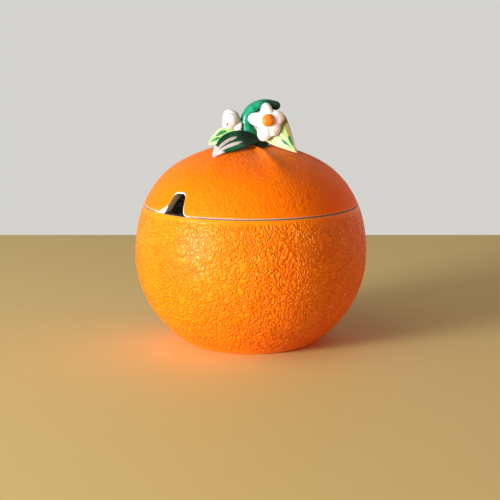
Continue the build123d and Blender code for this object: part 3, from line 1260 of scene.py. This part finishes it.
@dataclass(frozen=True)
class Stalk:
    """Hooked stalk that tapers from a spread root to a round tip."""

    place: FinialFrame
    # Places across and above the crown
    line: tuple[Pair, ...] = (
        (4.8, -2.0), (-0.5, 4.8), (-1.7, 10.8), (0.7, 15.1), (5.2, 17.1), (10.6, 16.7),
    )
    root: float = 5.0
    neck: float = 3.5
    tip: float = 2.0
    root_power: int = 9
    mean_size: float = 0.985
    unevenness: float = 0.012
    stations: int = 90
    columns: int = 48

    def build(self, glaze: bpy.types.Material) -> bpy.types.Object:
        """Sweeps hand-rolled, slightly uneven sections along the stalk and dresses it.

        Args:
            glaze: Finish of the stalk.

        Returns:
            The stalk.
        """
        path = spline(self.line, self.stations)
        path = np.stack([path[:, 0], path[:, 0] * 0, path[:, 1]], 1)
        ahead = unit(np.gradient(path, axis=0))
        share = np.linspace(0.0, 1.0, self.stations)
        left = 1 - share
        size = self.tip + (self.neck - self.tip) * left + (self.root - self.neck) * left**self.root_power
        sections = list(zip(path, ahead, size, share))
        for bend in np.linspace(0.0, QUARTER, 9)[1:-1]:
            centre = path[-1] + ahead[-1] * self.tip * math.sin(bend)
            sections.append((centre, ahead[-1], self.tip * math.cos(bend), 1.0))
        angle = turns(self.columns)[:, None]
        level = np.array([0.0, 1.0, 0.0])
        surface = RingSkin(self.columns)
        surface.ring(self.place.world(path[0]), along=0.0)
        for centre, forward, radius, spot in sections:
            side = np.cross(level, forward)
            waves = np.sin(3 * angle + 9 * spot) + math.sin(23 * spot)
            reach = radius * (self.mean_size + self.unevenness * waves)
            ring = centre + reach * (np.cos(angle) * side + np.sin(angle) * level)
            surface.ring(self.place.world(ring), along=spot)
        surface.ring(self.place.world(path[-1] + ahead[-1] * self.tip), along=1.0)
        return surface.piece("stalk_modelled", glaze, Body.LID, Slot.STALK, "stalk")


@dataclass(frozen=True)
class Leaf:
    """Blade along a bowed midrib, with a vein groove and wavy, rounded edges."""

    name: str
    node: str
    base: Spot
    bow: Spot
    tip: Spot
    side: Spot
    width: float
    shoulder: float
    cup: float
    thickness: float = 1.9
    edge: float = 1.0
    groove: float = 0.28
    vein_width: float = 0.07
    rib: float = 0.07
    rib_turns: Pair = (26.0, 7.0)
    wave: float = 0.25
    wave_turns: Pair = (15.0, 2.0)
    start_share: float = 0.12
    end_share: float = 0.97
    tip_share: float = 0.05
    tip_size: float = 0.25
    least_reach: float = 0.05
    stations: int = 60
    samples: int = 25

    def spread(self, share: float) -> float:
        """Half width at a share of the length.

        Args:
            share: Share of the length, from 0 at the base to 1 at the tip.

        Returns:
            A value that is 1 at the shoulder.
        """
        first, run = self.start_share, self.end_share - self.start_share
        power = math.log(0.5) / math.log(first + run * self.shoulder)
        return math.sin(math.pi * (first + run * share) ** power)

    def build(self, place: FinialFrame, glaze: bpy.types.Material, slot: Slot) -> bpy.types.Object:
        """Lofts the blade and dresses it.

        Args:
            place: Frame of the finial.
            glaze: Finish of the leaf.
            slot: Slot of that finish.

        Returns:
            The leaf.
        """
        base, bow, tip = (np.array(point) for point in (self.base, self.bow, self.tip))
        across = np.linspace(-1.0, 1.0, self.samples)
        rim = np.linspace(0.0, math.pi, 7)[1:-1]
        fall = (1 - np.cos(rim)) / 2
        ends = np.ones(len(rim))
        places = np.concatenate([across, ends, across[::-1], -ends])
        surface = RingSkin(len(places))
        surface.ring(place.world(base), along=0.0, across=0.0)
        for share in np.linspace(0.0, 1.0, self.stations):
            centre = base * (1 - share) ** 2 + bow * 2 * share * (1 - share) + tip * share**2
            ahead = unit((bow - base) * (1 - share) + (tip - bow) * share)
            side = np.array(self.side)
            side = unit(side - ahead * side.dot(ahead))
            spread = self.spread(share)
            close = min(1.0, (1.0 - share) / self.tip_share + self.tip_size)
            reach = max(self.width / 2 * spread - self.edge / 2, self.least_reach)
            droop = self.cup * spread * across**2
            bends = np.sin(self.wave_turns[0] * share + self.wave_turns[1] * across)
            wave = self.wave * spread * bends * np.abs(across) ** 3
            lens = self.edge / 2 + (self.thickness - self.edge) / 2 * (1 - across**2)
            fade = max(math.sin(math.pi * share), 0.0) ** 0.5
            vein = self.groove * bell(across, 0.0, self.vein_width) * fade
            ribs = np.sin(self.rib_turns[0] * share - self.rib_turns[1] * np.abs(across))
            ribs = ribs * (1 - across**2) * np.abs(across) ** 0.5
            top = (lens - vein + self.rib * ribs) * close - droop + wave
            foot = -lens * close - droop + wave
            swell = reach + self.edge / 2 * np.sin(rim) * close
            flat = np.concatenate([across * reach, swell, across[::-1] * reach, -swell])
            right = top[-1] - (top[-1] - foot[-1]) * fall
            left = foot[0] + (top[0] - foot[0]) * fall
            rise = np.concatenate([top, right, foot[::-1], left])
            ring = centre + np.outer(flat, side) + np.outer(rise, np.cross(ahead, side))
            surface.ring(place.world(ring), along=share, across=places)
        surface.ring(place.world(tip - (0, 0, self.cup * spread)), along=1.0, across=0.0)
        return surface.piece(self.name, glaze, Body.LID, slot, self.node)


@dataclass(frozen=True)
class BlossomSeat:
    """Middle of a blossom and the way that it faces."""

    place: FinialFrame
    middle: Spot
    facing: Spot

    def world(self, local: Any) -> np.ndarray:
        """Turns places onto the blossom.

        Args:
            local: Rows of millimetres on a level X, a Y and a Z that faces outwards.

        Returns:
            Rows of coordinates in metres.
        """
        outward = unit(self.facing)
        level = unit(np.cross((0.0, 0.0, 1.0), outward))
        axes = np.array([level, np.cross(outward, level), outward])
        return self.place.world(np.asarray(self.middle) + np.atleast_2d(local) @ axes)

    def turned(
        self, rows: Sequence[Pair], columns: int, rise: float = 0.0, **values: Any
    ) -> RingSkin:
        """Skin of circles about the facing axis, with a pole where the radius is 0.

        Args:
            rows: Radius and level of each circle.
            columns: Points on each circle.
            rise: How far above the middle the circles lie.
            values: Attribute values, one number or one for each row.

        Returns:
            The skin.
        """
        surface = RingSkin(columns)
        for place, (radius, level) in enumerate(rows):
            ring = circle(radius, turns(columns if radius else 1), level) + (0.0, rise, 0.0)
            marks = {name: np.broadcast_to(row, len(rows))[place] for name, row in values.items()}
            surface.ring(self.world(ring), **marks)
        return surface


@dataclass(frozen=True)
class OpenBlossom:
    """Open blossom with five petals round a dimpled button."""

    seat: BlossomSeat
    # Angle in degrees, length and width of each petal
    petals: tuple[tuple[float, ...], ...] = (
        (97, 7.7, 5.2), (172, 8.5, 5.8), (253, 8.9, 6.4), (303, 7.2, 7.0), (17, 7.4, 6.2),
    )
    eye: float = 4.3
    curve: float = 18.0
    thickness: float = 1.8
    crease: float = 0.16
    crease_width: float = 0.16
    valley: float = 0.55
    lift: float = 0.45
    roll_from: float = 0.62
    calyx: float = 3.68
    calyx_radius: float = 3.0
    button_radius: float = 2.7
    button_rise: float = 1.5
    button_depth: float = 0.8
    columns: int = 240
    rows: int = 30
    join_power: int = 16
    relief: PeelRelief = PeelRelief("button_dimples", depth=0.22 * MM, cell=0.75 * MM, seed=3.1)

    def outline(self, turn: np.ndarray) -> tuple[np.ndarray, np.ndarray]:
        """Reach of the blossom at each angle, and how near the angle is to a petal's middle.

        Args:
            turn: Angles.

        Returns:
            The reach, and a value of 0 on a petal's midline and 1 between petals.
        """
        reaches, offsets = [np.full(turn.shape, self.eye)], []
        for angle, length, width in self.petals:
            off = (turn - math.radians(angle) + math.pi) % (2 * math.pi) - math.pi
            cos = np.cos(off).clip(0.0)
            reaches.append(length * cos / (cos**2 + (length / width) ** 2 * np.sin(off) ** 2 + 1e-9))
            offsets.append(np.abs(off))
        reach = (np.array(reaches) ** self.join_power).sum(0) ** (1 / self.join_power)
        nearest = np.sort(np.array(offsets), axis=0)
        return reach, np.clip(2 * nearest[0] / (nearest[0] + nearest[1]), 0.0, 1.0)

    def build_petals(self, glaze: bpy.types.Material) -> bpy.types.Object:
        """Builds the corolla and its calyx and dresses them.

        Args:
            glaze: Finish of the petals.

        Returns:
            The corolla.
        """
        turn = turns(self.columns)
        reach, offset = self.outline(turn)
        shares = np.sin(np.linspace(0.0, QUARTER, self.rows + 1))[1:]
        faces = [(share, True) for share in shares] + [(share, False) for share in shares[-2::-1]]
        surface = RingSkin(self.columns)
        surface.ring(self.seat.world((0.0, 0.0, 0.0)), relief=1.0)
        for share, is_front in faces:
            out = share * reach
            rolled = max(0.0, (share - self.roll_from) / (1 - self.roll_from))
            roll = self.thickness / 2 * (1 - math.sqrt(1 - rolled**2))
            petal = smooth(out, self.eye * 0.55, self.eye * 1.1)
            lift = self.lift * smooth(share, 0.4, 1.0) * np.cos(3 * turn + 0.7) ** 2 * petal
            dome = np.sqrt(self.curve**2 - out**2) - self.curve + lift
            if is_front:
                valley = self.valley * offset**2.2 * petal
                fold = self.crease * bell(offset, 0.0, self.crease_width) * petal * (1 - share**2)
                level = dome - roll - valley - fold
                # A low relief value paints shade into the valleys between petals and into the folds
                relief = 1 - 0.8 * (valley + fold * 0.6)
            else:
                stem = 1 - smooth(out, self.calyx_radius * 0.55, self.calyx_radius * 1.25)
                level = dome - self.thickness + roll - self.calyx * stem
                relief = 1.0
            surface.ring(self.seat.world(circle(out, turn, level)), relief=relief)
        surface.ring(self.seat.world((0.0, 0.0, -self.calyx - self.thickness)), relief=1.0)
        return surface.piece("front_blossom_petals", glaze, Body.LID, Slot.WHITE, "front_blossom")

    def build_button(self, glaze: bpy.types.Material) -> bpy.types.Object:
        """Builds the domed button, sinks its dimples and dresses it.

        Args:
            glaze: Finish of the button.

        Returns:
            The button.
        """
        angles = np.linspace(0.0, QUARTER, 22)
        radius = self.button_radius * np.sin(angles) ** 0.9
        rows = list(zip(radius, self.button_rise * np.cos(angles)))
        rows += [(self.button_radius * size, -self.button_depth) for size in (1.0, 0.5, 0.0)]
        peel = np.concatenate([1 - smooth(angles, 1.1, 1.5), np.zeros(3)])
        surface = self.seat.turned(rows, 72, peel=peel)
        return surface.piece(
            "front_blossom_button", glaze, Body.LID, Slot.BUTTON, "front_blossom_centre", relief=self.relief
        )


@dataclass(frozen=True)
class CuppedBlossom:
    """Half-open blossom whose petals close round its button, with its angles in degrees."""

    seat: BlossomSeat
    radius: float = 4.55
    fullness: float = 0.96
    petal: float = 1.1
    count: int = 5
    turn: float = -7.0
    bottom_level: float = 6.0
    slit_level: float = 124.0
    tip_level: float = 131.0
    overlap: float = 0.06
    tuck: float = 0.06
    eye_turn: float = -26.0
    eye_level: float = 98.0
    eye_size: Pair = (0.55, 0.95)
    eye_depth: float = 0.5
    calyx: float = 5.4
    calyx_radius: float = 2.5
    calyx_drop: float = 2.4
    neck_top: float = 2.6
    button_radius: float = 2.6
    button_gap: float = 0.6
    columns: int = 200

    def build_petals(self, glaze: bpy.types.Material) -> bpy.types.Object:
        """Builds the cup of petals and dresses it.

        Args:
            glaze: Finish of the petals.

        Returns:
            The cup.
        """
        turn = turns(self.columns)
        # Place across the petal at each angle, from -1 at one edge to 1 at the next
        step = 2 * math.pi / self.count
        place = ((turn - math.radians(self.turn) + QUARTER) % step) / step * 2 - 1
        arch = (1 - np.abs(place) ** 5) ** 0.5
        top = np.radians(self.slit_level + (self.tip_level - self.slit_level) * arch)
        start = math.radians(self.bottom_level)
        shares = np.linspace(0.0, 1.0, 40)
        # Angle up from the bottom, depth below the outer face and share of the way up
        rings = [(start + (top - start) * share, 0.0, share) for share in shares]
        for bend in np.linspace(0.0, math.pi, 7)[1:-1]:
            past = self.petal / 2 * math.sin(bend) / self.radius
            rings.append((top + past, self.petal * (1 - math.cos(bend)) / 2, 1.0))
        rings += [(start + (top - start) * share, self.petal, share) for share in shares[::-1]]
        round_off = (turn - math.radians(self.eye_turn) + math.pi) % (2 * math.pi) - math.pi
        eye_across = round_off * self.radius / self.eye_size[1]
        bottom = -self.radius * self.fullness
        surface = RingSkin(self.columns)
        surface.ring(self.seat.world((0.0, 0.0, bottom)), relief=1.0, heart=0.0)
        for angle, sink, share in rings:
            lap = self.overlap * place * smooth(share, 0.45, 0.85)
            edged = smooth(share, 0.35, 0.7)
            tuck = self.tuck * np.abs(place) ** 6 * edged
            eye_along = (angle - math.radians(self.eye_level)) * self.radius / self.eye_size[0]
            heart = np.exp(-(eye_across**2) - eye_along**2) * (sink == 0.0)
            radius = self.radius * (self.fullness + lap - tuck) - sink - self.eye_depth * heart
            ring = circle(radius * np.sin(angle), turn, -radius * np.cos(angle))
            # Painted shade between the petals and on the cup's inner face
            hollow_shade = 0.7 * np.abs(place) ** 8 * edged + 0.4 * (sink > self.petal * 0.6)
            surface.ring(self.seat.world(ring), relief=np.clip(1 - hollow_shade, 0.0, 1.0), heart=heart)
        # The inner pole also gets painted shade
        surface.ring(self.seat.world((0.0, 0.0, bottom + self.petal)), relief=0.6, heart=0.0)
        return surface.piece("side_blossom_petals", glaze, Body.LID, Slot.WHITE, "side_blossom")

    def build_neck(self, glaze: bpy.types.Material) -> bpy.types.Object:
        """Builds the neck that joins the cup to the stalk and dresses it.

        Args:
            glaze: Finish of the neck.

        Returns:
            The neck.
        """
        low, high = -self.calyx, -self.neck_top
        sizes = ((0.0, low), (0.86, low), (0.95, -5.2), (1.0, -4.4), (1.02, -3.4), (1.05, high), (0.0, high))
        rows = [(self.calyx_radius * size, level) for size, level in sizes]
        surface = self.seat.turned(rows, 48, -self.calyx_drop, relief=1.0)
        return surface.piece("side_blossom_neck", glaze, Body.LID, Slot.WHITE, "side_blossom")

    def build_button(self, glaze: bpy.types.Material) -> bpy.types.Object:
        """Builds the round knob inside the cup and dresses it.

        Args:
            glaze: Finish of the knob.

        Returns:
            The knob.
        """
        middle = self.button_radius - self.radius + self.petal + self.button_gap
        angles = np.linspace(0.0, math.pi, 26)
        radius = self.button_radius * np.sin(angles)
        radius[-1] = 0.0
        rows = list(zip(radius, middle - self.button_radius * np.cos(angles)))
        surface = self.seat.turned(rows, 40, relief=1.0)
        return surface.piece("side_blossom_button", glaze, Body.LID, Slot.BUTTON, "side_blossom_centre")


FRONT_LEAF_GLAZE = LeafGlaze(
    "front_leaf_glaze",
    strokes=(Stroke((0.34, 0.36), (1.16, 0.22), 0.21), Stroke((0.30, -0.34), (1.16, -0.30), 0.24)),
    ground=(0.004, 0.105, 0.042),
    ground_shade=(0.012, 0.240, 0.100),
    paint=(0.93, 0.95, 0.97),
    paint_thin=(0.91, 0.93, 0.94),
    edge=(0.93, 0.95, 0.97),
    # Near-black painted shade over the base of the leaf
    base_shade=0.40,
    base_shade_colour=(0.003, 0.022, 0.011),
    pale_tip=0.82,
    rim=0.0,
    dull=0.4,
)
LEFT_LEAF_GLAZE = LeafGlaze(
    "left_leaf_glaze",
    strokes=(Stroke((0.50, 0.50), (0.76, 0.42), 0.26), Stroke((0.70, -0.20), (0.96, -0.05), 0.30)),
)
RIGHT_LEAF_GLAZE = LeafGlaze(
    "right_leaf_glaze",
    strokes=(
        Stroke((0.56, -0.30), (0.88, -0.12), 0.22),
        Stroke((0.60, 0.70), (0.84, 0.66), 0.24),
        Stroke((0.24, 0.25), (0.50, 0.40), 0.13, 0.45),
    ),
    # Painted shade along the leaf's right edge
    shaded_edge=0.75,
)
# The grey third colour is painted shade in the petals' hollows
WHITE_GLAZE = PlainGlaze(
    "white_glaze", (0.92, 0.93, 0.95), (0.87, 0.88, 0.88), (0.56, 0.56, 0.52), heart=(0.80, 0.20, 0.01)
)
# The darkest orange is painted shade in the button's dimples
BUTTON_GLAZE = PlainGlaze(
    "button_glaze", (0.93, 0.26, 0.008), (0.75, 0.14, 0.004), (0.60, 0.10, 0.003), grain=0.8 * MM
)


@dataclass(frozen=True)
class Finial:
    """Stalk, leaves and blossoms on the lid's crown."""

    form: OrangeForm

    def on_dome(self, across: float, away: float, lift: float) -> Spot:
        """Place on the dome's skin, given in millimetres across and away, with a lift."""
        return (across, away, self.form.level_at(math.hypot(across, away) * MM) / MM + lift)

    def build(self) -> list[bpy.types.Object]:
        """Builds and dresses every ornament.

        Returns:
            The ornaments.
        """
        place = FinialFrame(self.form.crown)
        front_leaf = Leaf(
            "front_leaf_painted", "front_leaf",
            base=(2.2, -3.0, 2.4), bow=(-10.4, -11.4, 3.8), tip=self.on_dome(-15.7, -18.0, 0.5),
            side=(-0.5, 0.45, 0.75), width=9.2, shoulder=0.4, cup=1.2,
        )
        left_leaf = Leaf(
            "left_leaf_painted", "left_leaf",
            base=(-2.0, 1.0, 3.6), bow=(-10.0, 0.0, 5.4), tip=self.on_dome(-18.0, 0.0, 1.8),
            side=(0.05, 0.8, 0.6), width=10.0, shoulder=0.55, cup=0.8,
        )
        right_leaf = Leaf(
            "right_leaf_painted", "right_leaf",
            base=(7.2, -2.0, 10.4), bow=(12.6, -3.6, 3.6), tip=self.on_dome(19.6, -9.0, 0.5),
            side=(0.69, 0.0, 0.72), width=14.0, shoulder=0.14, cup=0.8,
        )
        front = OpenBlossom(BlossomSeat(place, (7.3, -7.0, 11.0), (0.04, -0.98, 0.18)))
        side = CuppedBlossom(BlossomSeat(place, (-8.8, -0.8, 10.7), (-0.98, 0.08, 0.12)))
        white = WHITE_GLAZE.material()
        orange = BUTTON_GLAZE.material()
        return [
            Stalk(place).build(StalkGlaze().material()),
            front_leaf.build(place, FRONT_LEAF_GLAZE.material(), Slot.DARK_LEAF),
            left_leaf.build(place, LEFT_LEAF_GLAZE.material(), Slot.PALE_LEAF),
            right_leaf.build(place, RIGHT_LEAF_GLAZE.material(), Slot.PALE_LEAF),
            front.build_petals(white),
            front.build_button(orange),
            side.build_petals(white),
            side.build_neck(white),
            side.build_button(orange),
        ]


# Studio


def around(spot: Spot) -> Vector:
    """Point given across, away and up as the camera sees the part."""
    return Matrix.Rotation(VIEW_TURN, 4, "Z") @ Vector(spot)


@dataclass(frozen=True)
class Lamp:
    """Soft area lamp that faces the pot."""

    name: str
    spot: Spot
    size: Pair
    power: float
    tint: Colour = (1.0, 0.97, 0.93)
    is_reflected: bool = False
    aim: Spot = (0.0, 0.0, 50 * MM)

    def build(self) -> None:
        """Adds the lamp."""
        data = bpy.data.lights.new(self.name, "AREA")
        data.shape = "RECTANGLE"
        data.size, data.size_y = self.size
        data.energy = self.power
        data.color = self.tint
        lamp = bpy.data.objects.new(self.name, data)
        bpy.context.scene.collection.objects.link(lamp)
        lamp.location = around(self.spot)
        lamp.rotation_euler = (Vector(self.aim) - lamp.location).to_track_quat("-Z", "Y").to_euler()
        lamp.visible_glossy = self.is_reflected


@dataclass(frozen=True)
class Studio:
    """Pale floor, soft lamps and the camera at the photograph's angle."""

    floor_colour: Colour = (0.76, 0.58, 0.225)
    floor_shade: float = 0.97
    floor_half: float = 6.0
    floor_behind: float = 0.26
    cloud_size: float = 0.4
    air_colour: Colour = (1.0, 0.82, 0.68)
    air_strength: float = 0.20
    backdrop: Colour = (0.66, 0.65, 0.62)
    camera_spot: Spot = (0.0, -600.0 * MM, 152.2 * MM)
    camera_pitch: float = 0.1859
    lens: float = 101.13
    shift: float = -0.0018
    lamps: tuple[Lamp, ...] = (
        Lamp("key", (-0.84, -0.64, 0.18), (0.36, 0.33), 19.6, is_reflected=True),
        Lamp("top", (-0.6, -0.4, 0.9), (1.0, 1.0), 2.6),
        Lamp("fill", (0.97, -0.10, 0.08), (0.6, 0.3), 2.6, (1.0, 0.15, 0.06)),
    )

    def build_camera(self) -> None:
        """Adds the camera."""
        data = bpy.data.cameras.new("camera")
        data.lens = self.lens
        data.shift_x = self.shift
        camera = bpy.data.objects.new("camera", data)
        bpy.context.scene.collection.objects.link(camera)
        camera.location = around(self.camera_spot)
        camera.rotation_euler = (QUARTER - self.camera_pitch, 0.0, VIEW_TURN)
        bpy.context.scene.camera = camera

    def build_air(self) -> None:
        """Adds the air's light, and the backdrop that eye, gloss and glass see."""
        world = bpy.data.worlds.new("air")
        world.use_nodes = True
        desk = Desk(world.node_tree)
        seen, *others = [
            desk.add("ShaderNodeLightPath", out=kind)
            for kind in ("Is Camera Ray", "Is Glossy Ray", "Is Transmission Ray")
        ]
        for other in others:
            seen = seen.most(other)
        light, shown = [
            desk.add("ShaderNodeBackground", {}, {"Color": colour, "Strength": strength})
            for colour, strength in ((self.air_colour, self.air_strength), (self.backdrop, 1.0))
        ]
        both = desk.add("ShaderNodeMixShader", {}, {0: seen, 1: light, 2: shown})
        desk.feed(world.node_tree.nodes["World Output"].inputs["Surface"], both)
        bpy.context.scene.world = world

    def build_floor(self) -> None:
        """Adds the floor, which isn't part of the object."""
        half, behind = self.floor_half, self.floor_behind
        plan = [(-half, -half), (half, -half), (half, behind), (-half, behind)]
        mesh = bpy.data.meshes.new("floor")
        mesh.from_pydata([around((x, y, 0.0)) for x, y in plan], [], [(0, 1, 2, 3)])
        floor = show("floor", mesh)
        coat = Dressing("floor_paint", Roughness=0.65)
        cloud = coat.desk.noise(coat.place, self.cloud_size)
        shade = tuple(self.floor_shade * part for part in self.floor_colour)
        coat.link("Base Color", coat.desk.blend(cloud, self.floor_colour, shade))
        mesh.materials.append(coat.material)

    def build(self) -> None:
        """Sets the stage."""
        self.build_camera()
        for lamp in self.lamps:
            lamp.build()
        self.build_air()
        self.build_floor()
        bpy.context.scene.view_settings.view_transform = "Standard"


def main() -> None:
    """Builds the jam pot and its stage."""
    logging.basicConfig(level=logging.INFO, format="%(name)s %(message)s")
    form = OrangeForm.from_frame()
    pot_glaze = OrangeGlaze("pot_orange_glaze", 1.0, 1.9 * MM, ridge=(1.0, 0.252, 0.0002))
    pot = Pot(form)
    pot.build(pot_glaze.material())
    lid = Lid(form, pot.wall)
    lid_glaze = OrangeGlaze("lid_orange_glaze", 0.3, 2.0 * MM, gloss=0.18, matt=0.42).material()
    lid.build_shell(lid_glaze)
    lid.build_flange(lid_glaze)
    made = Finial(form).build()
    LOG.info("finial: %d ornaments", len(made))
    Studio().build()


if __name__ == "__main__":
    main()
